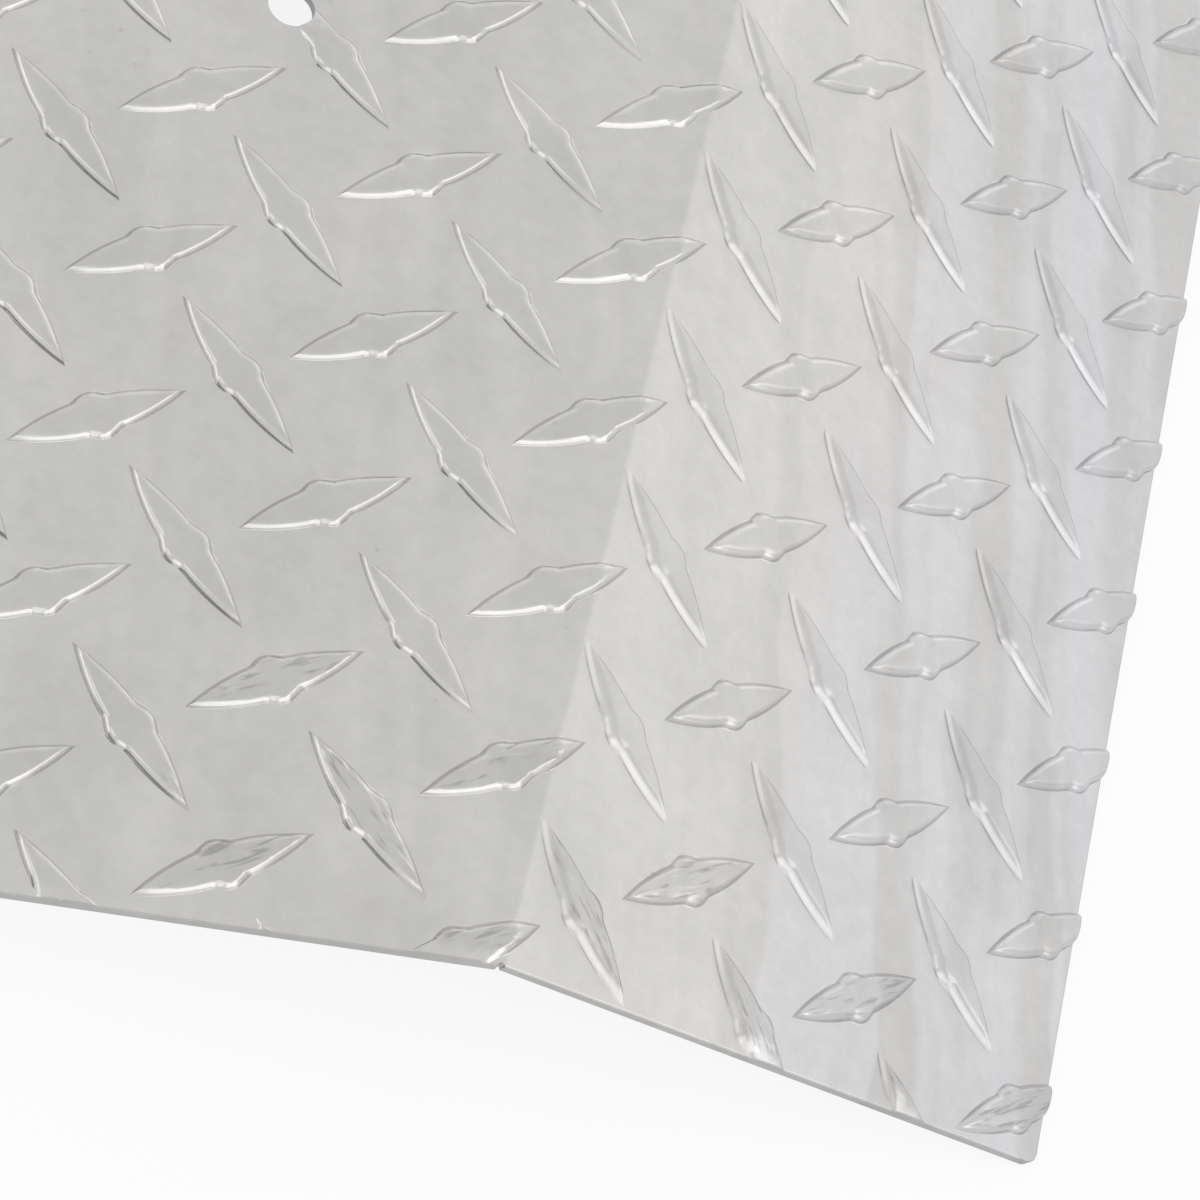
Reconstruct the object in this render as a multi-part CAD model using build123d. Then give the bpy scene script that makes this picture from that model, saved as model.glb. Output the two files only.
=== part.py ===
from build123d import *
from math import atan2, cos, degrees, radians, sin, tan
import os

# Folded aluminium tread plate, in millimetres, +Z up, in one piece.
# It is stored pattern side up, like a low tent, standing on its two long outer edges.
# +X runs across the fold towards the short flange, +Y runs along the fold.

# The folded sheet
sheet_thickness = 1.6
left_width = 152.4
right_width = 114.3
fold_angle = 23.7
fold_inner_radius = 3.0
length_at_fold = 317.4
end_slant = 13.2
corner_radius = 2.8

# The relief at each end of the fold, and the bolt hole
relief_radius = 0.6
hole_diameter = 8.0
hole_from_fold = 73.3
flat_round_hole = 11.0

# The raised bars
pitch_across = 38.1
pitch_along = 33.93
bar_length = 32.0
bar_width = 6.7
bar_angle = 40.95
bar_height = 1.2
bump_width = 8.6
bump_length = 5.2
first_column_from_fold = -83.1
first_row_from_hole = -23.22

# Sizes that follow from those above
outer_radius = fold_inner_radius + sheet_thickness
half_strip = outer_radius * radians(fold_angle) / 2
left_flat = left_width - half_strip
right_flat = right_width - half_strip
half_length = length_at_fold / 2


def resting_slope():
    """Slope of the left flange, in degrees, when both outer edges touch the floor."""
    turn = radians(fold_angle)
    rise = fold_inner_radius * (1 - cos(turn)) + right_flat * sin(turn)
    run = left_flat + fold_inner_radius * sin(turn) + right_flat * cos(turn)
    return degrees(atan2(rise, run))


left_slope = resting_slope()
right_slope = fold_angle - left_slope


def end_position(across):
    """Distance from mid-length to the slanted end, at a place across the flat sheet."""
    return half_length - across * tan(radians(end_slant))


def flange_outline(inner, outer):
    """Flat outline of one flange between two places across the sheet."""
    corners = [
        (inner, -end_position(inner)),
        (outer, -end_position(outer)),
        (outer, end_position(outer)),
        (inner, end_position(inner)),
    ]
    face = make_face(Polyline(*corners, close=True))
    outer_corners = face.vertices().filter_by(lambda corner: abs(corner.X - outer) < 0.01)
    return fillet(outer_corners, corner_radius)


def lens_half_width(along):
    """Half the width of a bar's pointed lens, at a distance from its middle."""
    return bar_width / 2 * (1 - (along / (bar_length / 2)) ** 2)


def bar_outline():
    """Outline of one raised bar: a pointed lens with a small swelling on each side."""
    half = bar_length / 2
    bump = bump_length / 2
    quarter = half * 0.55
    side = [
        (-quarter, lens_half_width(quarter)),
        (-bump, lens_half_width(bump)),
        (-bump / 2, bump_width / 2 * 0.95),
        (bump / 2, bump_width / 2 * 0.95),
        (bump, lens_half_width(bump)),
        (quarter, lens_half_width(quarter)),
    ]
    other_side = [(-x, -y) for x, y in side]
    return make_face(Polyline((-half, 0), *side, (half, 0), *other_side, close=True))


def bar_places():
    """Centre and turn of every bar whose tips could reach the sheet."""
    places = []
    for column in range(8):
        for row in range(-7, 7):
            across = first_column_from_fold - pitch_across * 2 + column * pitch_across
            along = first_row_from_hole + row * pitch_along
            places.append((across, along, bar_angle))
            places.append((across + pitch_across / 2, along + pitch_along / 2, -bar_angle))
    return places


def sheet_plane(slope, side):
    """Plane of one flange's patterned face, with its zero on the unrolled fold line."""
    turn = radians(slope)
    across = Vector(cos(turn), 0, -side * sin(turn))
    outward = Vector(side * sin(turn), 0, cos(turn))
    origin = outward * outer_radius - across * (side * half_strip)
    return Plane(origin=origin, x_dir=across, z_dir=outward)


left_plane = sheet_plane(left_slope, -1)
right_plane = sheet_plane(right_slope, 1)
fold_plane = Plane(
    origin=(0, 0, 0),
    x_dir=(cos(radians(right_slope - left_slope) / 2), 0, -sin(radians(right_slope - left_slope) / 2)),
    z_dir=(sin(radians(right_slope - left_slope) / 2), 0, cos(radians(right_slope - left_slope) / 2)),
)


def raise_from(plane, face, low, high):
    """Solid that stands on a flat outline, between two heights over the patterned face."""
    return extrude(plane.offset(low) * face, amount=high - low, dir=plane.z_dir)


def curved_strip(low_radius, high_radius):
    """The strip that bends round the fold, between two radii."""
    start = 90 - right_slope
    low_arc = CenterArc((0, 0), low_radius, start, fold_angle)
    high_arc = CenterArc((0, 0), high_radius, start, fold_angle)
    edges = [low_arc, Line(low_arc @ 1, high_arc @ 1), high_arc, Line(high_arc @ 0, low_arc @ 0)]
    section = Plane.XZ * make_face(edges)
    return extrude(section, amount=half_length, both=True)


def flange_bars(plane, outline):
    """Every raised bar of one flange, cut off where the flange or the flat round the hole is."""
    bars = []
    shape = bar_outline()
    for across, along, turn in bar_places():
        cut = (Pos(across, along) * Rot(0, 0, turn) * shape) & outline
        faces = cut.faces() if cut else []
        bars += [raise_from(plane, face, -bar_height / 4, bar_height) for face in faces]
    return bars


def fold_bars():
    """The parts of the raised bars that lie on the curved strip."""
    layer = curved_strip(outer_radius - bar_height / 4, outer_radius + bar_height)
    bars = []
    shape = bar_outline()
    for across, along, turn in bar_places():
        if abs(across) < bar_length / 2 and abs(along) < half_length + bar_length:
            face = Pos(across, along) * Rot(0, 0, turn) * shape
            cut = raise_from(fold_plane, face, 0, outer_radius * 2) & layer
            bars += cut.solids() if cut else []
    return bars


def tread_plate():
    """The folded sheet with its raised bars, its hole and the relief at the fold's ends."""
    left = flange_outline(-half_strip, -left_width)
    right = flange_outline(half_strip, right_width)
    barred_left = left - Pos(-hole_from_fold, 0) * Circle(flat_round_hole / 2)
    plate = raise_from(left_plane, left, -sheet_thickness, 0)
    plate += curved_strip(fold_inner_radius, outer_radius)
    plate += raise_from(right_plane, right, -sheet_thickness, 0)
    left_bars = flange_bars(left_plane, barred_left)
    plate = plate.fuse(*left_bars, *fold_bars(), *flange_bars(right_plane, right))
    reach = sheet_thickness + bar_height * 2
    plate -= left_plane * Pos(-hole_from_fold, 0, 0) * Cylinder(hole_diameter / 2, reach * 2)
    for end in (-half_length, half_length):
        plate -= fold_plane * Pos(0, end, outer_radius) * Cylinder(relief_radius, reach * 2)
    return plate


def set_down(plate):
    """The plate moved so that the middle of its box's underside is the origin."""
    raised_radius = outer_radius + bar_height
    left_turn = radians(left_slope)
    right_turn = radians(right_slope)
    left_end = -raised_radius * sin(left_turn) - left_flat * cos(left_turn)
    right_end = raised_radius * sin(right_turn) + right_flat * cos(right_turn)
    floor = fold_inner_radius * cos(left_turn) - left_flat * sin(left_turn)
    return Pos(-(left_end + right_end) / 2, 0, -floor) * plate


os.makedirs("parts", exist_ok=True)
result = set_down(tread_plate())
result.label = "tread_plate"
export_step(result, "parts/tread_plate.step")
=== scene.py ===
"""Folded aluminum tread plate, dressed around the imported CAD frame.

The sheet is one closed mesh. Cells of raised pattern are repeated by Geometry Nodes, cut to the
blank's outline, closed with a flat back, drilled, and then folded and set down by Geometry Nodes.
All sizes are in millimetres until a mesh is made; Blender works in metres.
"""

from __future__ import annotations

import logging
import math
from collections.abc import Callable
from dataclasses import dataclass, field
from enum import Enum

import bmesh
import bpy
from mathutils import Matrix, Vector


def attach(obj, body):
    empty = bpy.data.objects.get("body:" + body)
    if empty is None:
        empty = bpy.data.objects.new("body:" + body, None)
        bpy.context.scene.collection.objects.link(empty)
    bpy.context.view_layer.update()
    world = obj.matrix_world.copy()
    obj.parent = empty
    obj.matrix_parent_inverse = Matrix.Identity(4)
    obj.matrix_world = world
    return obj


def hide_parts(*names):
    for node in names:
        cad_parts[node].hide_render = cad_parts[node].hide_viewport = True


MM = 0.001
CUT_TOLERANCE = 1e-7
WELD_TOLERANCE = 1e-6
LOG = logging.getLogger("tread_plate")
Socket = bpy.types.NodeSocket

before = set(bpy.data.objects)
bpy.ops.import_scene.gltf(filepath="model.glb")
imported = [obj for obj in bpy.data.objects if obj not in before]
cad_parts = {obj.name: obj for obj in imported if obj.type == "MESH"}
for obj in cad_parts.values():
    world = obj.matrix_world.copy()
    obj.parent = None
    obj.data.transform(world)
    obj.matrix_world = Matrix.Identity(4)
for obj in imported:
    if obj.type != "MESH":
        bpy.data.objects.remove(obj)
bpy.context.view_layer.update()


class Lean(Enum):
    """Which way a bar leans, seen from above with +Y up."""

    RIGHT = 1
    LEFT = -1


# Small helpers


def link(name: str, mesh: bpy.types.Mesh) -> bpy.types.Object:
    """Puts a mesh in the scene as an object at the origin.

    Args:
        name: the object's name.
        mesh: its mesh, already where it belongs.

    Returns:
        The new object.
    """
    thing = bpy.data.objects.new(name, mesh)
    bpy.context.scene.collection.objects.link(thing)
    return thing


def drop(thing: bpy.types.Object) -> None:
    """Removes a helper object from the file."""
    bpy.data.objects.remove(thing, do_unlink=True)


def bake(thing: bpy.types.Object, name: str) -> bpy.types.Mesh:
    """Turns an object with live modifiers into a plain mesh.

    Args:
        thing: the object whose modifiers are evaluated.
        name: the new mesh's name.

    Returns:
        The plain mesh.
    """
    graph = bpy.context.evaluated_depsgraph_get()
    graph.update()
    mesh = bpy.data.meshes.new_from_object(thing.evaluated_get(graph))
    mesh.name = name
    return mesh


class NodeSheet:
    """A short way to write a node tree: add a node, set its sockets, join the wires."""

    def __init__(self, tree: bpy.types.NodeTree) -> None:
        """Starts on an empty tree."""
        self.tree = tree
        self.count = 0

    def add(self, kind: str, inputs: dict | None = None, **settings: object) -> bpy.types.Node:
        """Adds one node.

        Args:
            kind: Blender's name for the node type.
            inputs: socket name or number to a value, or to the socket that feeds it.
            **settings: properties of the node, set before its sockets.

        Returns:
            The node.
        """
        node = self.tree.nodes.new(kind)
        node.location = (220 * (self.count % 12), -220 * (self.count // 12))
        self.count += 1
        for key, value in settings.items():
            setattr(node, key, value)
        for key, value in (inputs or {}).items():
            self.feed(node.inputs[key], value)
        return node

    def feed(self, socket: Socket, value: object) -> None:
        """Gives a socket a constant, or a wire from another socket.

        Args:
            socket: the input to set.
            value: a plain value, or the socket that feeds it.
        """
        if isinstance(value, Socket):
            self.tree.links.new(value, socket)
        else:
            socket.default_value = value

    def sums(self, operation: str, *values: object) -> Socket:
        """Adds a Math node.

        Args:
            operation: Blender's name for the operation.
            *values: numbers or sockets, in the node's order.

        Returns:
            Its result.
        """
        node = self.add("ShaderNodeMath", operation=operation)
        for socket, value in zip(node.inputs, values):
            self.feed(socket, value)
        return node.outputs[0]

    def product(self, first: Socket, *others: Socket) -> Socket:
        """Multiplies sockets together.

        Args:
            first: the first factor.
            *others: the other factors.

        Returns:
            Their product.
        """
        for other in others:
            first = self.sums("MULTIPLY", first, other)
        return first

    def eased(self, value: Socket, source: tuple, target: tuple = (0.0, 1.0)) -> Socket:
        """Maps a value smoothly from one range to another.

        Args:
            value: the socket to map.
            source: the range that the value comes in.
            target: the range that it leaves in.

        Returns:
            The mapped socket.
        """
        ends = dict(zip(("From Min", "From Max", "To Min", "To Max"), (*source, *target)))
        node = self.add("ShaderNodeMapRange", {"Value": value, **ends}, interpolation_type="SMOOTHSTEP")
        return node.outputs[0]

    def noise(self, place: Socket, scale: tuple | float, **settings: float) -> Socket:
        """Adds a noise texture.

        Args:
            place: the coordinates that it is read on.
            scale: cells per metre, one number or one for each axis.
            **settings: the texture's other sockets, by name.

        Returns:
            Its grey value, from 0 to 1.
        """
        if isinstance(scale, tuple):
            place = self.add("ShaderNodeMapping", {"Vector": place, "Scale": scale}).outputs[0]
            scale = 1.0
        inputs = {name.capitalize(): value for name, value in settings.items()}
        return self.add("ShaderNodeTexNoise", {"Vector": place, "Scale": scale, **inputs}).outputs[0]

    def stained(self, share: object, first: object, second: object, blend: str = "MIX") -> Socket:
        """Mixes two colours.

        Args:
            share: how much of the second colour there is.
            first: the first colour.
            second: the second colour.
            blend: how they are mixed.

        Returns:
            The mixed colour.
        """
        node = self.add("ShaderNodeMix", data_type="RGBA", blend_type=blend)
        self.feed(node.inputs[0], share)
        self.feed(node.inputs[6], first)
        self.feed(node.inputs[7], second)
        return node.outputs[2]


@dataclass
class GeometryRecipe:
    """A Geometry Nodes tree with named inputs, run once on an object and then baked."""

    name: str
    sockets: dict[str, tuple[str, object]] = field(default_factory=dict)

    def __post_init__(self) -> None:
        """Makes the tree with its geometry sockets and its named inputs."""
        self.tree = bpy.data.node_groups.new(self.name, "GeometryNodeTree")
        face = self.tree.interface
        face.new_socket(name="Geometry", in_out="INPUT", socket_type="NodeSocketGeometry")
        face.new_socket(name="Geometry", in_out="OUTPUT", socket_type="NodeSocketGeometry")
        self.identifiers = {
            label: face.new_socket(name=label, in_out="INPUT", socket_type=kind).identifier
            for label, (kind, _) in self.sockets.items()
        }
        self.sheet = NodeSheet(self.tree)
        self.given = self.sheet.add("NodeGroupInput").outputs
        self.result = self.sheet.add("NodeGroupOutput").inputs[0]

    def dress(self, geometry: Socket) -> None:
        """Gives the geometry its finish and makes it the tree's result."""
        dressed = {"Geometry": geometry, "Material": self.given["Finish"]}
        self.sheet.feed(self.result, self.sheet.add("GeometryNodeSetMaterial", dressed).outputs[0])

    def run(self, thing: bpy.types.Object, name: str) -> bpy.types.Mesh:
        """Runs the tree on an object and bakes the result.

        Args:
            thing: the object that carries the modifier.
            name: the baked mesh's name.

        Returns:
            The plain mesh; the modifier is removed again.
        """
        modifier = thing.modifiers.new(self.name, "NODES")
        modifier.node_group = self.tree
        for label, (_, value) in self.sockets.items():
            modifier[self.identifiers[label]] = value
        mesh = bake(thing, name)
        thing.modifiers.remove(modifier)
        return mesh


# Finishes


@dataclass(frozen=True)
class MillAluminium:
    """Bright rolled aluminium: grain, clouds, rolling streaks, smudges and scuffed bars.

    Shades are factors on the colour, and depths and places are in metres. The shades of the
    bar tops, the bars' feet and the cut edges are painted shade.
    """

    bar_lean: float
    colour: tuple[float, float, float, float] = (0.560, 0.553, 0.543, 1.0)
    smudge: tuple[float, float, float, float] = (0.575, 0.525, 0.515, 1.0)
    streak: tuple[float, float, float, float] = (0.560, 0.548, 0.575, 1.0)
    roughness: float = 0.17
    short_flange_roughness: float = 0.25
    cut_roughness: float = 0.22
    # painted shade: how much darker the bar tops are made
    top_painted_shade: float = 0.945
    # painted shade: how dark the thin band at each bar's foot is made
    foot_painted_shade: float = 0.80
    # painted shade: how much darker the cut edges and the bore are made
    edge_painted_shade: float = 0.80
    speck_shade: float = 0.86
    stroke_shade: float = 0.73
    worn_tone: float = 0.15
    streak_slant: float = 0.19
    streak_shift: float = 0.0045
    scuffed_end: tuple[float, float] = (-0.120, -0.114)
    scuffed_from: tuple[float, float] = (-0.0595, -0.055)
    dent_depth: float = 0.00007
    soft_depth: float = 0.00006
    streak_depth: float = 0.00005
    grain_depth: float = 0.0000006

    def material(self) -> bpy.types.Material:
        """Builds the node material.

        Returns:
            The material for the whole plate.
        """
        material = bpy.data.materials.new("mill_aluminium")
        material.use_nodes = True
        material.node_tree.nodes.clear()
        MetalSheet(material.node_tree, self).write()
        return material


class MetalSheet(NodeSheet):
    """The metal's node tree.

    It reads the flat sheet's map and its two distances in metres, the place in space, and the
    attributes that FoldedPlate.note_surface and PatternCell.mesh write.
    """

    def __init__(self, tree: bpy.types.NodeTree, look: MillAluminium) -> None:
        """Starts on an empty tree, with what the mesh carries and the marks used more than once.

        Args:
            tree: the material's tree.
            look: the finish's numbers.
        """
        super().__init__(tree)
        self.look = look
        self.flat = self.add("ShaderNodeUVMap", uv_map="flat_sheet").outputs[0]
        self.place = self.add("ShaderNodeTexCoord").outputs["Object"]
        parts = self.add("ShaderNodeSeparateXYZ", {0: self.flat}).outputs
        self.across, self.along = parts[0], parts[1]
        raised, self.crease, self.cut_edge, self.leaning = (
            self.add("ShaderNodeAttribute", attribute_name=name).outputs["Fac"]
            for name in ("raised", "crease", "cut_edge", "leaning")
        )
        self.top = self.eased(raised, (0.6, 1.0))
        faces = self.eased(self.cut_edge, (0.0, 1.0), (1.0, 0.0))
        self.grain = self.product(self.noise(self.flat, (1900, 60, 1), detail=3.0), faces)
        self.streaks = self.rolling_streaks()
        self.dents, self.strokes = self.scuffs()

    def write(self) -> None:
        """Joins colour, roughness and relief in the shader."""
        shader = self.add("ShaderNodeBsdfPrincipled", {"Metallic": 1.0})
        colour = self.stained(1.0, self.tint(), self.shade(), "MULTIPLY")
        self.feed(shader.inputs["Base Color"], colour)
        self.feed(shader.inputs["Roughness"], self.dullness())
        self.feed(shader.inputs["Normal"], self.relief())
        self.add("ShaderNodeOutputMaterial", {0: shader.outputs[0]})

    def rolling_streaks(self) -> Socket:
        """Long wavy streaks that run a little askew to the fold.

        Returns:
            A grey value, from 0 to 1.
        """
        sway = self.noise(self.flat, (26, 36, 1), detail=1.0)
        sway = self.eased(sway, (0.2, 0.8), (-0.0022, 0.0022))
        askew = self.sums("MULTIPLY_ADD", self.along, self.look.streak_slant, sway)
        askew = self.sums("ADD", askew, self.look.streak_shift)
        shift = self.add("ShaderNodeCombineXYZ", {0: askew}).outputs[0]
        swayed = self.add("ShaderNodeVectorMath", {0: self.flat, 1: shift}).outputs[0]
        return self.noise(swayed, (82, 3, 1), detail=2.0, distortion=0.3)

    def shade(self) -> Socket:
        """Light and dark of the metal's colour: its own clouds, mottle, specks, scuffs and streaks,
        with painted shade on the bar tops, at the bars' feet, on the cut edges and in the bore,
        and a gradient that is lighter towards the fold.

        Returns:
            A factor near 1 for the colour.
        """
        look = self.look
        clouds = self.noise(self.place, 34.0, detail=7.0, roughness=0.62)
        mottle = self.noise(self.place, 260.0, detail=6.0, roughness=0.7)
        short_flange = self.eased(self.across, (0.015, 0.07), (0.35, 1.0))
        strength = self.product(self.eased(self.streaks, (0.40, 0.58), (-0.07, 0.03)), short_flange)
        return self.product(
            self.eased(clouds, (0.3, 0.7), (0.96, 1.04)),
            self.eased(mottle, (0.3, 0.7), (0.965, 1.025)),
            # painted shade: the bar tops are made a little darker than the flat sheet
            self.sums("MULTIPLY_ADD", self.top, look.top_painted_shade - 1.0, 1.0),
            self.specks(),
            self.sums("MULTIPLY_ADD", self.strokes, look.stroke_shade - 1.0, 1.0),
            # painted shade: a thin dark line at each bar's foot
            self.eased(self.crease, (0.35, 1.0), (1.0, look.foot_painted_shade)),
            # painted shade: darker cut edges and rounded rim, darkest in the bore
            self.sums("MULTIPLY_ADD", self.cut_edge, look.edge_painted_shade - 1.0, 1.0),
            self.sums("ADD", strength, 1.0),
            # lighter towards the fold on both flanges
            self.eased(self.across, (-0.06, 0.0), (1.0, 1.02)),
            self.eased(self.across, (0.0, 0.1), (1.0, 0.975)),
        )

    def specks(self) -> Socket:
        """Scattered dark specks, where a patchy noise lets them show.

        Returns:
            A factor for the colour, 1 beside the specks.
        """
        cells = self.add("ShaderNodeTexVoronoi", {"Vector": self.place, "Scale": 190.0})
        dots = self.eased(cells.outputs["Distance"], (0.05, 0.12), (1.0, 0.0))
        patches = self.eased(self.noise(self.place, 55.0, detail=2.0), (0.57, 0.68))
        return self.sums("MULTIPLY_ADD", self.product(dots, patches), self.look.speck_shade - 1.0, 1.0)

    def scuffs(self) -> tuple[Socket, Socket]:
        """Strokes along the tops of the bars by the near end, where the sheet was handled.

        Returns:
            How dented the tops are and how dark the strokes are, from 0 to 1.
        """
        near = self.eased(self.along, self.look.scuffed_end, (1.0, 0.0))
        beside = self.eased(self.across, self.look.scuffed_from)
        where = self.product(near, beside, self.top)
        turn = math.radians(self.look.bar_lean)
        leaning = self.sums("MULTIPLY", self.leaning, math.sin(turn))
        rise = self.product(self.along, leaning)
        along_bar = self.sums("MULTIPLY_ADD", self.across, math.cos(turn), rise)
        skew = self.product(self.across, leaning)
        across_bar = self.sums("SUBTRACT", self.sums("MULTIPLY", self.along, math.cos(turn)), skew)
        on_bar = self.add("ShaderNodeCombineXYZ", {0: along_bar, 1: across_bar}).outputs[0]
        hollows = self.noise(on_bar, (90, 420, 1), detail=2.0)
        dents = self.product(self.eased(hollows, (0.42, 0.58)), where)
        patches = self.eased(self.noise(self.place, 170.0, detail=2.0), (0.30, 0.50))
        strokes = self.noise(on_bar, (120, 900, 1), detail=4.0, distortion=0.35)
        dashes = self.eased(strokes, (0.52, 0.62))
        worn = self.sums("MULTIPLY", where, self.look.worn_tone)
        return dents, self.sums("MULTIPLY_ADD", dashes, self.product(where, patches), worn)

    def tint(self) -> Socket:
        """The metal's colour with faint warm smudges and cool streaks near the outer edge.

        Returns:
            The colour before its light and dark.
        """
        spots = self.eased(self.noise(self.place, 42.0, detail=3.0), (0.62, 0.76), (0.0, 0.5))
        colour = self.stained(spots, self.look.colour, self.look.smudge)
        outer = self.eased(self.across, (0.02, 0.10))
        cool = self.product(self.eased(self.streaks, (0.38, 0.62), (0.15, 0.7)), outer)
        return self.stained(cool, colour, self.look.streak)

    def dullness(self) -> Socket:
        """Roughness: one value for each flange, broken by the grain and higher on cut edges.

        Returns:
            The roughness.
        """
        flanges = (self.look.roughness, self.look.short_flange_roughness)
        rough = self.eased(self.across, (-0.002, 0.002), flanges)
        rough = self.sums("ADD", rough, self.eased(self.grain, (0.3, 0.7), (-0.012, 0.014)))
        return self.sums("MULTIPLY_ADD", self.cut_edge, self.look.cut_roughness, rough)

    def relief(self) -> Socket:
        """Fine relief: grain, shallow streaks, soft rolled tops and dents in the scuffed bars.

        Returns:
            The bumped normal.
        """
        soft = self.sums("MULTIPLY", self.noise(self.place, 190.0, detail=2.0), self.look.soft_depth)
        height = self.sums("MULTIPLY", self.dents, self.look.dent_depth)
        height = self.sums("MULTIPLY_ADD", soft, self.top, height)
        height = self.sums("MULTIPLY_ADD", self.streaks, self.look.streak_depth, height)
        height = self.sums("MULTIPLY_ADD", self.grain, self.look.grain_depth, height)
        return self.add("ShaderNodeBump", {"Strength": 1.0, "Distance": 1.0, "Height": height}).outputs[0]


# The raised bar and the cell of sheet around it


@dataclass
class RaisedBar:
    """One raised bar: a pointed lens with a small swelling at the middle of each side.

    The flank lists an inset from the foot and the height there. The swelling's points are spaced
    by shares of its shoulder, and the lens's points begin a little beyond the shoulder.
    """

    length: float = 32.0
    width: float = 6.7
    height: float = 1.2
    swelling_width: float = 8.6
    swelling_length: float = 5.2
    lean_angle: float = 40.95
    blend: float = 0.85
    lens_points: int = 8
    lens_from: float = 1.45
    shoulder_inset: float = 0.25
    swelling_shares: tuple[float, ...] = (1.22, 1.06, 0.92, 0.76, 0.54, 0.28)
    flank: tuple[tuple[float, float], ...] = (
        (-0.28, 0.0),
        (-0.03, 0.0),
        (0.02, 0.06),
        (0.09, 0.19),
        (0.20, 0.37),
        (0.34, 0.57),
        (0.52, 0.77),
        (0.75, 0.94),
        (1.08, 1.08),
        (1.75, 1.20),
    )

    def swelling_radius(self) -> float:
        """Radius of the arc that bounds the swelling."""
        half = self.swelling_length / 2
        rise = self.swelling_width / 2 - self.lens(half, 0.0)
        return (half**2 + rise**2) / (2 * rise)

    def lens(self, along: float, inset: float) -> float:
        """Half width of the lens at a place along it, drawn in by an inset."""
        reach = self.length / 2
        slope = self.width * along / reach**2
        return self.width / 2 * (1 - (along / reach) ** 2) - inset * math.hypot(1, slope)

    def tip(self, inset: float) -> float:
        """Distance from the middle to the tip of an inset outline.

        Args:
            inset: how far the outline is drawn in.

        Returns:
            The distance, found by halving.
        """
        reach = self.length / 2
        low, high = 0.0, reach * 1.5
        for _ in range(40):
            middle = (low + high) / 2
            if self.lens(middle, inset) > 0:
                low = middle
            else:
                high = middle
        return low

    def half_width(self, along: float, inset: float) -> float:
        """Half width of the bar, with lens and swelling blended.

        Args:
            along: the distance from the bar's middle.
            inset: how far the outline is drawn in.

        Returns:
            The half width.
        """
        lens = self.lens(along, inset)
        radius = self.swelling_radius()
        left = (radius - inset) ** 2 - along**2
        swelling = self.swelling_width / 2 - radius + math.sqrt(left) if left > 0 else -1.0
        near = max(self.blend - abs(lens - swelling), 0.0) / self.blend
        return max(lens, swelling) + near * near * self.blend / 4

    def side(self, inset: float) -> list[tuple[float, float]]:
        """Points of one side of an inset outline, from the tip to the far tip.

        Args:
            inset: how far the outline is drawn in from the bar's foot.

        Returns:
            Places along and across the bar, the same number for every inset.
        """
        tip = self.tip(inset)
        shoulder = self.swelling_length / 2 - self.shoulder_inset * max(inset, 0.0)
        half = [(tip, 0.0)]
        for step in range(1, self.lens_points):
            along = tip + (shoulder * self.lens_from - tip) * step / (self.lens_points - 1)
            half.append((along, self.half_width(along, inset)))
        for share in self.swelling_shares:
            half.append((shoulder * share, self.half_width(shoulder * share, inset)))
        middle = [(0.0, self.half_width(0.0, inset))]
        return [(-x, y) for x, y in half] + middle + [(x, y) for x, y in reversed(half)]


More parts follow.
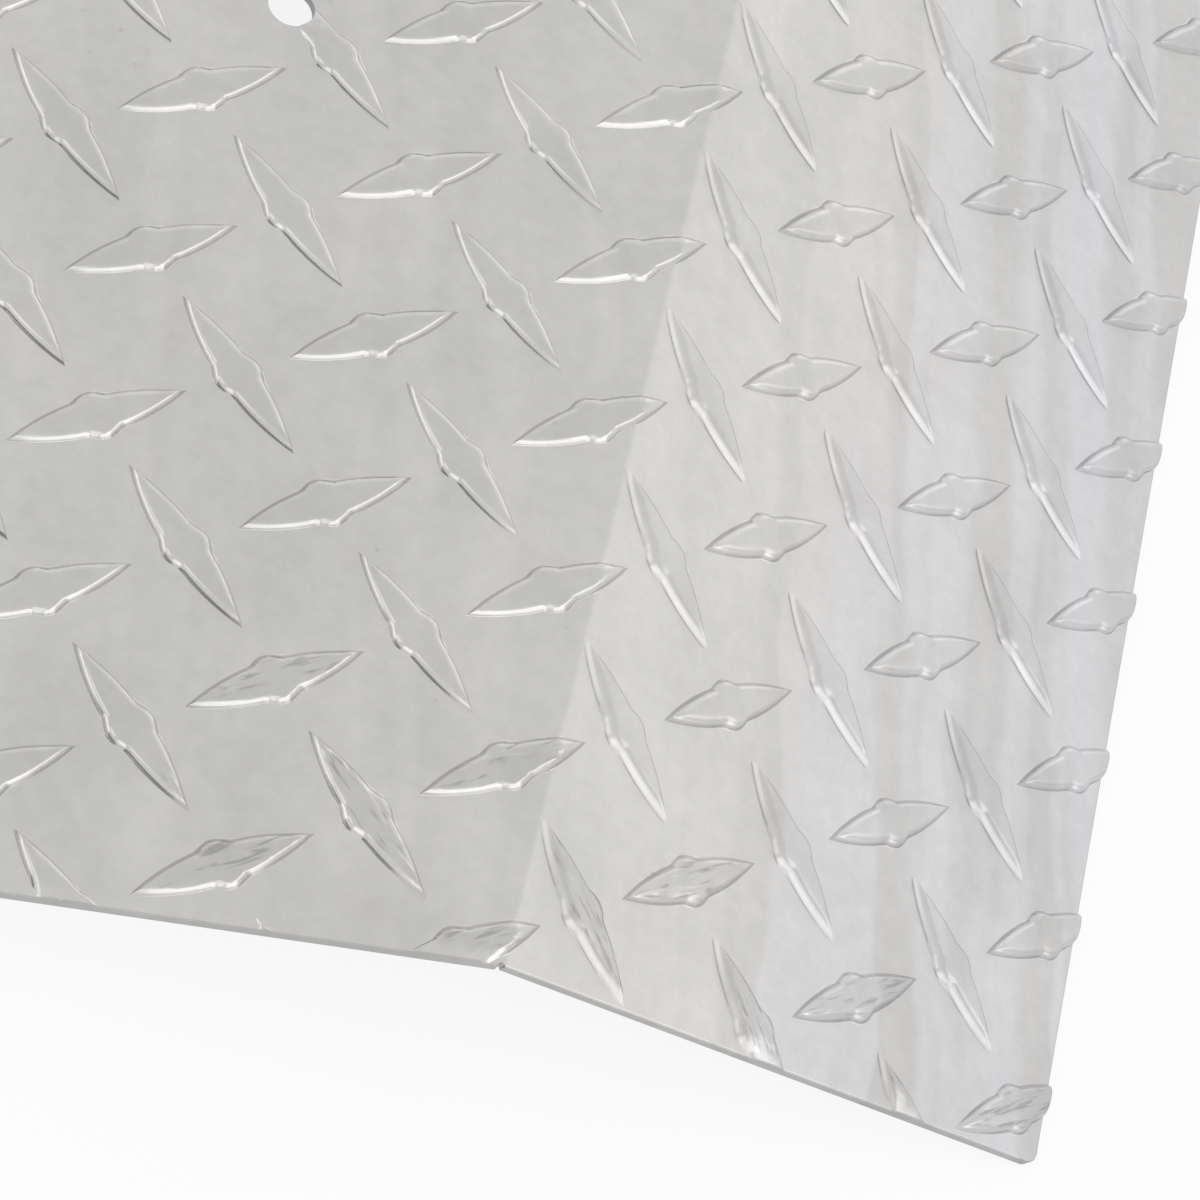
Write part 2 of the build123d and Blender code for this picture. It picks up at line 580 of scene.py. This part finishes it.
@dataclass
class PatternCell:
    """One bar in the piece of sheet around it; its cells and their mirror images tile the sheet."""

    bar: RaisedBar
    pitch_across: float = 38.1
    pitch_along: float = 33.93
    corner_beyond_tip: tuple[float, float] = (14.6, 12.6)

    def border(self) -> list[tuple[float, float]]:
        """Corners of the cell, counter-clockwise, for a bar that leans to the right."""
        across, along = self.pitch_across / 2, self.pitch_along / 2
        x, y = self.corner_beyond_tip
        return [
            (across, 0),
            (x, y),
            (0, along),
            (x - across, along - y),
            (-across, 0),
            (-x, -y),
            (0, -along),
            (across - x, y - along),
        ]

    def mesh(self, lean: Lean) -> bpy.types.Mesh:
        """Builds the cell's mesh, in metres.

        Args:
            lean: the way the bar leans.

        Returns:
            An open mesh whose border lies at height 0.
        """
        shape = bmesh.new()
        leaning = shape.verts.layers.float.new("leaning")
        turn = math.radians(self.bar.lean_angle)

        def put(along: float, across: float, height: float) -> bmesh.types.BMVert:
            """Adds a vertex at a place on the bar, before the bar leans."""
            x = along * math.cos(turn) - across * math.sin(turn)
            y = along * math.sin(turn) + across * math.cos(turn)
            return shape.verts.new((x * lean.value * MM, y * MM, height * MM))

        rings = []
        for inset, height in self.bar.flank:
            side = self.bar.side(inset)
            upper = [put(x, y, height) for x, y in side]
            lower = [put(-x, -y, height) for x, y in side[1:-1]]
            rings.append(upper + lower)
        for outer, inner in zip(rings, rings[1:]):
            for a in range(len(outer)):
                b = (a + 1) % len(outer)
                shape.faces.new((outer[a], outer[b], inner[b], inner[a]))
        self.fill_top(shape, rings[-1], put)
        corners = [shape.verts.new((x * lean.value * MM, y * MM, 0)) for x, y in self.border()]
        for vertex in shape.verts:
            vertex[leaning] = lean.value
        edges = [shape.edges.new((a, b)) for a, b in zip(corners, corners[1:] + corners[:1])]
        outer_ring = rings[0]
        edges += [shape.edges.get((a, b)) for a, b in zip(outer_ring, outer_ring[1:] + outer_ring[:1])]
        bmesh.ops.triangle_fill(shape, use_beauty=True, use_dissolve=False, edges=edges)
        bmesh.ops.recalc_face_normals(shape, faces=shape.faces)
        shape.normal_update()
        if sum(face.normal.z * face.calc_area() for face in shape.faces) < 0:
            bmesh.ops.reverse_faces(shape, faces=shape.faces)
        mesh = bpy.data.meshes.new(f"cell_{lean.name.lower()}")
        shape.to_mesh(mesh)
        shape.free()
        return mesh

    def fill_top(self, shape: bmesh.types.BMesh, ring: list, put: Callable) -> None:
        """Closes the bar's top with two rows of faces that meet on its crown.

        Args:
            shape: the mesh under construction.
            ring: the highest ring of the flank.
            put: makes a vertex from a place along, a place across and a height.
        """
        count = (len(ring) + 2) // 2
        upper = ring[:count]
        lower = [ring[0]] + list(reversed(ring[count:])) + [ring[count - 1]]
        side = self.bar.side(self.bar.flank[-1][0])
        crown = [put(x, 0.0, self.bar.height) for x, _ in side[1:-1]]
        rows = [upper, [ring[0], *crown, ring[count - 1]], lower]
        for first, second in zip(rows, rows[1:]):
            for a in range(count - 1):
                corners = (first[a], second[a], second[a + 1], first[a + 1])
                shape.faces.new(list(dict.fromkeys(corners)))


# The folded plate


@dataclass
class FoldedPlate:
    """The whole tread plate: pattern, outline, back, hole, relief notches and fold.

    The pattern is pressed down to a share of its height round the hole and beside the slanted
    ends. Columns and rows count the cells of one lean, and those before the first that the CAD
    names make the pattern reach past every corner of the blank.
    """

    cell: PatternCell
    finish: bpy.types.Material
    thickness: float = 1.6
    left_width: float = 152.4
    right_width: float = 114.3
    fold_angle: float = 23.7
    fold_inner_radius: float = 3.0
    length_at_fold: float = 317.4
    end_slant: float = 13.2
    corner_radius: float = 2.8
    relief_radius: float = 0.6
    hole_diameter: float = 8.0
    hole_from_fold: float = 73.3
    pressed_round_hole: float = 2.75
    pressed_at_ends: float = 3.0
    pressed_to: float = 0.35
    marks_left: float = 0.5
    first_column: float = -83.1
    first_row: float = -23.22
    columns: int = 9
    rows: int = 15
    columns_before: int = 3
    rows_before: int = 7
    cell_gap: float = 0.02
    edge_round: float = 0.22
    edge_drop: float = 0.45
    corner_steps: int = 9
    fold_strips: int = 6
    drill_sides: int = 64
    crease_band: tuple[float, float] = (0.2, 1.6)
    # weight of the painted shade and the extra roughness in the bore
    bore_painted_shade_and_roughness: float = 1.7
    sharp_angle: float = 50.0

    @property
    def outer_radius(self) -> float:
        """Radius of the fold on the patterned side."""
        return self.fold_inner_radius + self.thickness

    @property
    def half_strip(self) -> float:
        """Half the width of the curved strip, measured on the patterned side."""
        return self.outer_radius * math.radians(self.fold_angle) / 2

    @property
    def hole_place(self) -> Vector:
        """The middle of the bolt hole on the flat sheet."""
        return Vector((-self.hole_from_fold, 0.0))

    def strip_places(self) -> list[float]:
        """Places across the flat sheet where the strip that bends is divided."""
        steps = range(self.fold_strips + 1)
        return [self.half_strip * (2 * step / self.fold_strips - 1) for step in steps]

    def left_slope(self) -> float:
        """Slope of the long flange when both outer edges touch the floor.

        Returns:
            The slope in radians.
        """
        turn = math.radians(self.fold_angle)
        left = self.left_width - self.half_strip
        right = self.right_width - self.half_strip
        inner = self.fold_inner_radius
        rise = inner * (1 - math.cos(turn)) + right * math.sin(turn)
        run = left + inner * math.sin(turn) + right * math.cos(turn)
        return math.atan2(rise, run)

    def shift(self) -> tuple[float, float]:
        """How far the folded sheet moves to stand at the frame's origin.

        Returns:
            The moves across and up, in millimetres.
        """
        left_turn = self.left_slope()
        right_turn = math.radians(self.fold_angle) - left_turn
        left = self.left_width - self.half_strip
        right = self.right_width - self.half_strip
        raised = self.outer_radius + self.cell.bar.height
        low = -raised * math.sin(left_turn) - left * math.cos(left_turn)
        high = raised * math.sin(right_turn) + right * math.cos(right_turn)
        floor = self.fold_inner_radius * math.cos(left_turn) - left * math.sin(left_turn)
        return -(low + high) / 2, -floor

    def end(self, across: float) -> float:
        """Distance from mid-length to the slanted end, at a place across the flat sheet."""
        return self.length_at_fold / 2 - across * math.tan(math.radians(self.end_slant))

    def outline_cuts(self) -> list[tuple[Vector, Vector]]:
        """Cutting lines that leave the blank's outline.

        Returns:
            A point and an outward direction for each line, in millimetres.
        """
        left, right = -self.left_width, self.right_width
        turns = ((left, -1), (right, -1), (right, 1), (left, 1))
        corners = [Vector((across, side * self.end(across))) for across, side in turns]
        cuts = []
        for number, corner in enumerate(corners):
            after = corners[(number + 1) % 4]
            before = corners[number - 1]
            ahead = (after - corner).normalized()
            behind = (corner - before).normalized()
            first = Vector((behind.y, -behind.x))
            second = Vector((ahead.y, -ahead.x))
            cuts.append((corner, second))
            bisector = (first + second).normalized()
            centre = corner - bisector * (self.corner_radius / first.dot(bisector))
            for step in range(1, self.corner_steps):
                way = first.lerp(second, step / self.corner_steps).normalized()
                cuts.append((centre + way * self.corner_radius, way))
        return cuts

    def patterned_sheet(self) -> bpy.types.Mesh:
        """Repeats the cells over an area larger than the blank, with Geometry Nodes.

        Returns:
            The flat patterned sheet.
        """
        right_lean = link("cell_right", self.cell.mesh(Lean.RIGHT))
        left_lean = link("cell_left", self.cell.mesh(Lean.LEFT))
        across, along = self.cell.pitch_across, self.cell.pitch_along
        recipe = GeometryRecipe(
            "tread pattern",
            {
                "Cell Leaning Right": ("NodeSocketObject", right_lean),
                "Cell Leaning Left": ("NodeSocketObject", left_lean),
                "Pitch Across": ("NodeSocketFloat", across * MM),
                "Pitch Along": ("NodeSocketFloat", along * MM),
                "Columns": ("NodeSocketInt", self.columns),
                "Rows": ("NodeSocketInt", self.rows),
                "First Column": ("NodeSocketFloat", (self.first_column - self.columns_before * across) * MM),
                "First Row": ("NodeSocketFloat", (self.first_row - self.rows_before * along) * MM),
                "Finish": ("NodeSocketMaterial", self.finish),
            },
        )
        sheet, given = recipe.sheet, recipe.given
        width = sheet.sums("MULTIPLY", given["Pitch Across"], sheet.sums("SUBTRACT", given["Columns"], 1.0))
        height = sheet.sums("MULTIPLY", given["Pitch Along"], sheet.sums("SUBTRACT", given["Rows"], 1.0))
        lattice = sheet.add(
            "GeometryNodeMeshGrid",
            {"Size X": width, "Size Y": height, "Vertices X": given["Columns"], "Vertices Y": given["Rows"]},
        )
        points = sheet.add("GeometryNodeMeshToPoints", {"Mesh": lattice.outputs[0]})
        both = sheet.add("GeometryNodeJoinGeometry")
        for label, share in (("Cell Leaning Right", 0.0), ("Cell Leaning Left", 0.5)):
            start = []
            for size, first, pitch in (
                (width, given["First Column"], given["Pitch Across"]),
                (height, given["First Row"], given["Pitch Along"]),
            ):
                middle = sheet.sums("MULTIPLY_ADD", size, 0.5, first)
                start.append(sheet.sums("MULTIPLY_ADD", pitch, share, middle))
            offset = sheet.add("ShaderNodeCombineXYZ", {"X": start[0], "Y": start[1]})
            moves = {"Geometry": points.outputs[0], "Offset": offset.outputs[0]}
            moved = sheet.add("GeometryNodeSetPosition", moves)
            cell = sheet.add("GeometryNodeObjectInfo", {"Object": given[label]})
            copies = {"Points": moved.outputs[0], "Instance": cell.outputs["Geometry"]}
            placed = sheet.add("GeometryNodeInstanceOnPoints", copies)
            sheet.feed(both.inputs[0], placed.outputs[0])
        solid = sheet.add("GeometryNodeRealizeInstances", {"Geometry": both.outputs[0]})
        welds = {"Geometry": solid.outputs[0], "Distance": self.cell_gap * MM}
        joined = sheet.add("GeometryNodeMergeByDistance", welds)
        recipe.dress(joined.outputs[0])
        carrier = link("pattern", bpy.data.meshes.new("pattern"))
        mesh = recipe.run(carrier, "patterned_sheet")
        for helper in (carrier, right_lean, left_lean):
            drop(helper)
        return mesh

    def cut_blank(self, mesh: bpy.types.Mesh) -> bpy.types.Mesh:
        """Cuts the patterned sheet to its outline and closes it with a flat back.

        Args:
            mesh: the flat patterned sheet.

        Returns:
            The closed flat blank.
        """
        shape = bmesh.new()
        shape.from_mesh(mesh)

        def slice_at(point: Vector, way: Vector, clear: bool) -> None:
            """Cuts the sheet along a line, and clears what lies outside it if asked."""
            bmesh.ops.bisect_plane(
                shape,
                geom=shape.verts[:] + shape.edges[:] + shape.faces[:],
                dist=CUT_TOLERANCE,
                plane_co=(point.x * MM, point.y * MM, 0),
                plane_no=(way.x, way.y, 0),
                clear_outer=clear,
            )

        cuts = self.outline_cuts()
        for point, way in cuts:
            slice_at(point, way, True)
        for share in (1, 2):
            for point, way in cuts:
                slice_at(point - way * self.edge_round * share, way, False)
        for place in self.strip_places():
            slice_at(Vector((place, 0)), Vector((1, 0)), False)
        self.close_back(shape)
        bmesh.ops.remove_doubles(shape, verts=shape.verts[:], dist=WELD_TOLERANCE)
        bmesh.ops.recalc_face_normals(shape, faces=shape.faces)
        blank = bpy.data.meshes.new("blank")
        shape.to_mesh(blank)
        shape.free()
        blank.materials.append(self.finish)
        return blank

    def close_back(self, shape: bmesh.types.BMesh) -> None:
        """Lowers the rim to round it, and adds the upright edges and the flat back.

        Args:
            shape: the cut sheet, still open below.
        """
        rim = [edge for edge in shape.edges if edge.is_boundary]
        for vertex in {vertex for edge in rim for vertex in edge.verts}:
            vertex.co.z -= self.edge_round * MM * self.edge_drop
        grown = bmesh.ops.extrude_edge_only(shape, edges=rim)["geom"]
        low = {item for item in grown if isinstance(item, bmesh.types.BMVert)}
        for vertex in low:
            vertex.co.z = -self.thickness * MM
        back_edges = [edge for edge in shape.edges if edge.is_boundary and set(edge.verts) <= low]
        back = bmesh.ops.triangle_fill(shape, use_beauty=False, edges=back_edges)["geom"]
        for place in self.strip_places():
            faces = [item for item in back if item.is_valid and isinstance(item, bmesh.types.BMFace)]
            edges = dict.fromkeys(edge for face in faces for edge in face.edges)
            verts = dict.fromkeys(vertex for face in faces for vertex in face.verts)
            done = bmesh.ops.bisect_plane(
                shape,
                geom=[*verts, *edges, *faces],
                dist=CUT_TOLERANCE,
                plane_co=(place * MM, 0, 0),
                plane_no=(1, 0, 0),
            )
            back = [item for item in done["geom"] if item.is_valid]

    def press_flat(self, flat: bpy.types.Mesh) -> None:
        """Presses the pattern down round the bolt hole and along the sheared ends.

        Args:
            flat: the drilled flat blank, with its height and crease noted.
        """
        hole = self.hole_place
        noted = [flat.attributes[name].data for name in ("raised", "crease")]
        square = math.cos(math.radians(self.end_slant))
        for vertex in flat.vertices:
            if vertex.co.z <= 0:
                continue
            x, y = vertex.co.xy / MM
            from_rim = math.hypot(x - hole.x, y - hole.y) - self.hole_diameter / 2
            from_hole = from_rim / self.pressed_round_hole
            from_end = (self.end(x) - abs(y)) * square / self.pressed_at_ends
            for share in (from_hole, from_end):
                if share < 1:
                    share = max(share, 0.0)
                    share *= share * (3 - 2 * share)
                    vertex.co.z *= self.pressed_to + (1 - self.pressed_to) * share
                    for values in noted:
                        values[vertex.index].value *= self.marks_left + (1 - self.marks_left) * share

    @staticmethod
    def split_large_faces(mesh: bpy.types.Mesh) -> None:
        """Splits the many-sided faces beside the cuts, so that the mesh stays closed when folded.

        Args:
            mesh: the drilled flat blank.
        """
        shape = bmesh.new()
        shape.from_mesh(mesh)
        many_sided = [face for face in shape.faces if len(face.verts) > 4]
        bmesh.ops.triangulate(shape, faces=many_sided, quad_method="BEAUTY", ngon_method="BEAUTY")
        shape.to_mesh(mesh)
        shape.free()

    def note_surface(self, flat: bpy.types.Mesh) -> None:
        """Writes on the flat blank what its finish needs.

        These are the height of the pattern, the crease at each bar's foot, the cut edges, and
        the place on the flat sheet as a map.

        Args:
            flat: the drilled flat blank.
        """
        bar = self.cell.bar
        foot = bar.flank[2][1] * MM
        heights = [vertex.co.z for vertex in flat.vertices]
        raised = flat.attributes.new("raised", "FLOAT", "POINT")
        raised.data.foreach_set("value", [max(z, 0.0) / (bar.height * MM) for z in heights])
        # the crease band marks where painted shade goes at each bar's foot
        crease = flat.attributes.new("crease", "FLOAT", "POINT")
        low, high = (share * foot for share in self.crease_band)
        crease.data.foreach_set("value", [float(low < z < high) for z in heights])
        cuts = self.outline_cuts()
        rim = []
        for face in flat.polygons:
            spot = face.center.xy / MM
            inside = min((point - spot).dot(way) for point, way in cuts)
            upright = abs(face.normal.z) < 0.02
            bored = upright and (spot - self.hole_place).length < self.hole_diameter
            sheared = upright or inside < 0.9 * self.edge_round
            # cut_edge weights painted shade and extra roughness: 1 on sheared faces, more in the bore
            rim.append(self.bore_painted_shade_and_roughness if bored else float(sheared))
        cut = flat.attributes.new("cut_edge", "FLOAT", "FACE")
        cut.data.foreach_set("value", rim)
        flat_map = flat.uv_layers.new(name="flat_sheet")
        spots = [flat.vertices[loop.vertex_index].co for loop in flat.loops]
        flat_map.data.foreach_set("uv", [value for spot in spots for value in (spot.x, spot.y)])

    def drill(self, blank: bpy.types.Mesh) -> bpy.types.Mesh:
        """Cuts the bolt hole and the relief notches out of the flat blank.

        Args:
            blank: the closed flat blank.

        Returns:
            The drilled blank.
        """
        thing = link("blank", blank)
        half = self.length_at_fold / 2
        cutters = []
        for name, x, y, radius in (
            ("hole", -self.hole_from_fold, 0.0, self.hole_diameter / 2),
            ("notch_near", 0.0, -half, self.relief_radius),
            ("notch_far", 0.0, half, self.relief_radius),
        ):
            shape = bmesh.new()
            bmesh.ops.create_cone(
                shape,
                cap_ends=True,
                segments=self.drill_sides,
                radius1=radius * MM,
                radius2=radius * MM,
                depth=self.thickness * 6 * MM,
                matrix=Matrix.Translation((x * MM, y * MM, 0)),
            )
            mesh = bpy.data.meshes.new(name)
            shape.to_mesh(mesh)
            shape.free()
            cutter = link(name, mesh)
            cutters.append(cutter)
            modifier = thing.modifiers.new(name, "BOOLEAN")
            modifier.operation = "DIFFERENCE"
            modifier.solver = "EXACT"
            modifier.object = cutter
        mesh = bake(thing, "drilled")
        for helper in (thing, *cutters):
            drop(helper)
        return mesh

    def folded(self, flat: bpy.types.Mesh) -> bpy.types.Mesh:
        """Folds the flat blank and sets it down on the floor, with Geometry Nodes.

        Args:
            flat: the drilled flat blank.

        Returns:
            The finished mesh in the part's own frame.
        """
        across, up = self.shift()
        recipe = GeometryRecipe(
            "fold and set down",
            {
                "Fold Radius": ("NodeSocketFloat", self.outer_radius * MM),
                "Half Strip": ("NodeSocketFloat", self.half_strip * MM),
                "Long Flange Slope": ("NodeSocketFloat", self.left_slope()),
                "Shift Across": ("NodeSocketFloat", across * MM),
                "Shift Up": ("NodeSocketFloat", up * MM),
                "Finish": ("NodeSocketMaterial", self.finish),
            },
        )
        sheet, given = recipe.sheet, recipe.given
        place = sheet.add("GeometryNodeInputPosition").outputs[0]
        parts = sheet.add("ShaderNodeSeparateXYZ", {0: place}).outputs
        low = sheet.sums("MULTIPLY", given["Half Strip"], -1.0)
        curved = sheet.add("ShaderNodeClamp", {"Value": parts[0], "Min": low, "Max": given["Half Strip"]})
        straight = sheet.sums("SUBTRACT", parts[0], curved.outputs[0])
        arc = sheet.sums("ADD", curved.outputs[0], given["Half Strip"])
        arc = sheet.sums("DIVIDE", arc, given["Fold Radius"])
        turn = sheet.sums("SUBTRACT", arc, given["Long Flange Slope"])
        reach = sheet.sums("ADD", parts[2], given["Fold Radius"])
        sine, cosine = sheet.sums("SINE", turn), sheet.sums("COSINE", turn)
        x = sheet.sums("ADD", sheet.product(reach, sine), sheet.product(straight, cosine))
        z = sheet.sums("SUBTRACT", sheet.product(reach, cosine), sheet.product(straight, sine))
        target = sheet.add(
            "ShaderNodeCombineXYZ",
            {
                "X": sheet.sums("ADD", x, given["Shift Across"]),
                "Y": parts[1],
                "Z": sheet.sums("ADD", z, given["Shift Up"]),
            },
        )
        moves = {"Geometry": given["Geometry"], "Position": target.outputs[0]}
        moved = sheet.add("GeometryNodeSetPosition", moves)
        recipe.dress(moved.outputs[0])
        thing = link("flat", flat)
        mesh = recipe.run(thing, "folded_plate")
        drop(thing)
        return mesh

    def build(self) -> bpy.types.Object:
        """Makes the plate and hands it to the frame.

        Returns:
            The finished piece, riding on the part's one body.
        """
        pattern = self.patterned_sheet()
        LOG.info("patterned sheet: %d faces", len(pattern.polygons))
        blank = self.cut_blank(pattern)
        LOG.info("blank: %d faces", len(blank.polygons))
        drilled = self.drill(blank)
        self.note_surface(drilled)
        self.press_flat(drilled)
        self.split_large_faces(drilled)
        mesh = self.folded(drilled)
        for polygon in mesh.polygons:
            polygon.use_smooth = True
        mesh.set_sharp_from_angle(angle=math.radians(self.sharp_angle))
        plate = link("tread_plate_folded", mesh)
        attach(plate, "root")
        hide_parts("tread_plate")
        return plate


# The studio


@dataclass(frozen=True)
class Panel:
    """A flat rectangle that faces the plate: a soft lamp, or a card that reflections show.

    Its azimuth and elevation are in degrees, as seen from the plate. Its distance, and its size
    across and up, are in metres. A glow of 1 is as bright as the white surround.
    """

    name: str
    azimuth: float
    elevation: float
    distance: float
    size: tuple[float, float]
    glow: float

    def direction(self) -> Vector:
        """The way from the plate to the panel."""
        around, up = math.radians(self.azimuth), math.radians(self.elevation)
        return Vector((math.cos(up) * math.cos(around), math.cos(up) * math.sin(around), math.sin(up)))

    def hang_lamp(self) -> None:
        """Hangs the panel as a soft lamp."""
        data = bpy.data.lights.new(self.name, "AREA")
        data.shape = "RECTANGLE"
        data.size, data.size_y = self.size
        data.energy = self.glow * math.pi * self.size[0] * self.size[1]
        lamp = bpy.data.objects.new(self.name, data)
        lamp.location = self.direction() * self.distance
        lamp.rotation_euler = self.direction().to_track_quat("Z", "Y").to_euler()
        bpy.context.scene.collection.objects.link(lamp)

    def stand_card(self) -> None:
        """Stands the panel as a card that is seen in reflections alone."""
        turn = self.direction().to_track_quat("Z", "Y").to_matrix().to_4x4()
        place = Matrix.Translation(self.direction() * self.distance) @ turn
        corners = [(-0.5, -0.5), (0.5, -0.5), (0.5, 0.5), (-0.5, 0.5)]
        spots = [place @ Vector((x * self.size[0], y * self.size[1], 0)) for x, y in corners]
        mesh = bpy.data.meshes.new(self.name)
        mesh.from_pydata(spots, [], [(0, 1, 2, 3)])
        material = bpy.data.materials.new(self.name)
        material.use_nodes = True
        material.node_tree.nodes.clear()
        sheet = NodeSheet(material.node_tree)
        grey = sheet.add("ShaderNodeEmission", {"Color": (1, 1, 1, 1), "Strength": self.glow})
        sheet.add("ShaderNodeOutputMaterial", {0: grey.outputs[0]})
        mesh.materials.append(material)
        card = link(self.name, mesh)
        card.visible_camera = card.visible_diffuse = card.visible_shadow = False


LAMPS = (
    Panel("back_sweep", 60, 24, 2.3, (4.6, 1.9), 0.165),
    Panel("back_strip", 66, 22, 2.0, (0.6, 0.5), 0.45),
    Panel("high_right_softbox", -4, 43, 1.8, (1.3, 0.6), 0.7),
    Panel("low_right_softbox", -37, 26, 1.8, (1.25, 0.95), 0.72),
    Panel("front_softbox", -80, 52, 1.8, (0.9, 0.7), 0.4),
    Panel("low_middle_softbox", -79, 27, 1.8, (0.85, 0.8), 0.5),
    Panel("low_front_softbox", -106, 31, 1.8, (0.75, 0.9), 0.62),
    Panel("low_left_softbox", -177, 13, 1.8, (1.15, 0.4), 0.7),
    Panel("high_left_softbox", -159, 40, 1.8, (0.9, 0.8), 0.38),
)
CARDS = (
    Panel("dark_card", -130, 4.2, 0.5, (0.3, 0.075), 0.25),
    Panel("back_card", 93, 6, 1.2, (0.25, 0.22), 0.55),
)


@dataclass
class Studio:
    """A pale floor, a white surround, soft lamps, cards and the camera."""

    camera_place: tuple[float, float, float] = (-234.13, -546.14, 641.51)
    camera_turn: tuple[float, float, float] = (28.712, -29.8238, 13.0784)
    focal_length: float = 153.4
    floor_gap: float = 0.2
    floor_whiteness: float = 0.85
    dimming: float = 0.25

    def camera(self) -> None:
        """Puts the camera at the photograph's viewpoint."""
        data = bpy.data.cameras.new("camera")
        data.lens = self.focal_length
        data.sensor_width = 36.0
        data.clip_start = 0.01
        data.clip_end = 20.0
        camera = bpy.data.objects.new("camera", data)
        camera.location = Vector(self.camera_place) * MM
        camera.rotation_euler = [math.radians(turn) for turn in self.camera_turn]
        bpy.context.scene.collection.objects.link(camera)
        bpy.context.scene.camera = camera

    def surround(self) -> None:
        """Makes the world white to the eye and in reflections, and softer as a light."""
        world = bpy.data.worlds.new("surround")
        bpy.context.scene.world = world
        world.use_nodes = True
        world.node_tree.nodes.clear()
        sheet = NodeSheet(world.node_tree)
        path = sheet.add("ShaderNodeLightPath").outputs
        seen = sheet.sums("MAXIMUM", path["Is Camera Ray"], path["Is Glossy Ray"])
        seen = sheet.sums("MAXIMUM", seen, path["Is Transmission Ray"])
        strength = sheet.sums("MULTIPLY_ADD", seen, self.dimming, 1.0 - self.dimming)
        back = sheet.add("ShaderNodeBackground", {"Color": (1, 1, 1, 1), "Strength": strength})
        sheet.add("ShaderNodeOutputWorld", {0: back.outputs[0]})

    def floor(self) -> None:
        """Lays a pale matte floor."""
        shape = bmesh.new()
        bmesh.ops.create_grid(shape, x_segments=2, y_segments=2, size=4.0)
        mesh = bpy.data.meshes.new("floor")
        shape.to_mesh(mesh)
        shape.free()
        material = bpy.data.materials.new("pale_floor")
        material.use_nodes = True
        material.node_tree.nodes.clear()
        sheet = NodeSheet(material.node_tree)
        matte = {"Base Color": (0.95, 0.95, 0.95, 1), "Roughness": 0.9, "Specular IOR Level": 0.1}
        shader = sheet.add("ShaderNodeBsdfPrincipled", matte)
        path = sheet.add("ShaderNodeLightPath").outputs
        seen = sheet.sums("MAXIMUM", path["Is Camera Ray"], path["Is Glossy Ray"])
        white = sheet.add("ShaderNodeEmission", {"Color": (1, 1, 1, 1), "Strength": 1.0})
        share = sheet.sums("MULTIPLY", seen, self.floor_whiteness)
        mixed = sheet.add("ShaderNodeMixShader", {0: share, 1: shader.outputs[0], 2: white.outputs[0]})
        sheet.add("ShaderNodeOutputMaterial", {0: mixed.outputs[0]})
        mesh.materials.append(material)
        floor = link("floor", mesh)
        floor.location.z = -self.floor_gap * MM

    def build(self) -> None:
        """Sets up the camera, surround, floor, lamps and cards."""
        self.camera()
        self.surround()
        self.floor()
        for panel in LAMPS:
            panel.hang_lamp()
        for panel in CARDS:
            panel.stand_card()
        bpy.context.scene.view_settings.view_transform = "Standard"


def main() -> None:
    """Builds the plate and the studio, and reports each piece."""
    logging.basicConfig(level=logging.INFO, format="%(name)s: %(message)s")
    Studio().build()
    bar = RaisedBar()
    finish = MillAluminium(bar.lean_angle).material()
    plate = FoldedPlate(PatternCell(bar), finish).build()
    mesh = plate.data
    mesh.calc_loop_triangles()
    LOG.info("%s: %d triangles", plate.name, len(mesh.loop_triangles))


if __name__ == "__main__":
    main()
